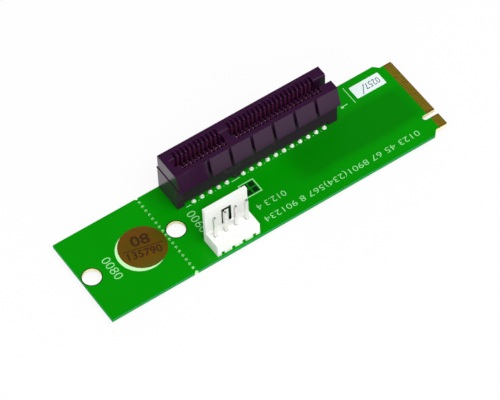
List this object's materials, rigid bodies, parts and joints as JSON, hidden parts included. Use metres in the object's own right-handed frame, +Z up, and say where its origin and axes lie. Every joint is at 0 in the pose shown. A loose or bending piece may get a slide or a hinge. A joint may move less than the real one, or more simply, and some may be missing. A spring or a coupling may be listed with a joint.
{
  "type": "nvme adapter card",
  "caption": "Long narrow green adapter board with a gold contact edge, an open-ended card slot on top, a white power header and two screw holes with a break-off row.",
  "frame": {"origin": "middle of the plan, level with the tips of the soldered pins that the card rests on", "axes": "+X along the board towards the gold contact edge, +Y across it towards the card slot's side, +Z up from the solder side to the slot's mouth"},
  "size_m": [0.0822, 0.022, 0.0129],
  "materials": {
    "board_green": "gloss",
    "finger_gold": "satin",
    "slot_plastic": "gloss",
    "contact_gold": "satin",
    "tinned_pad": "satin",
    "solder": "satin",
    "header_plastic": "satin",
    "tinned_pin": "satin",
    "sticker_gold": "satin"
  },
  "bodies": {
    "root": {"circuit_board": "board_green", "edge_contacts_top_long": "finger_gold", "edge_contacts_top_short": "finger_gold", "edge_contacts_bottom_long": "finger_gold", "edge_contacts_bottom_short": "finger_gold", "slot_housing": "slot_plastic", "slot_contacts_front_outer": "contact_gold", "slot_contacts_front_inner": "contact_gold", "slot_contacts_back_outer": "contact_gold", "slot_contacts_back_inner": "contact_gold", "slot_solder_front_outer": "solder", "slot_solder_front_inner": "solder", "slot_solder_back_outer": "solder", "slot_solder_back_inner": "solder", "slot_pads_front_outer": "tinned_pad", "slot_pads_back_outer": "tinned_pad", "power_header_housing": "header_plastic", "power_pin_1": "tinned_pin", "power_pin_2": "tinned_pin", "power_pin_3": "tinned_pin", "power_pin_4": "tinned_pin", "power_header_solder": "solder", "inspection_sticker": "sticker_gold"}
  },
  "joints": []
}
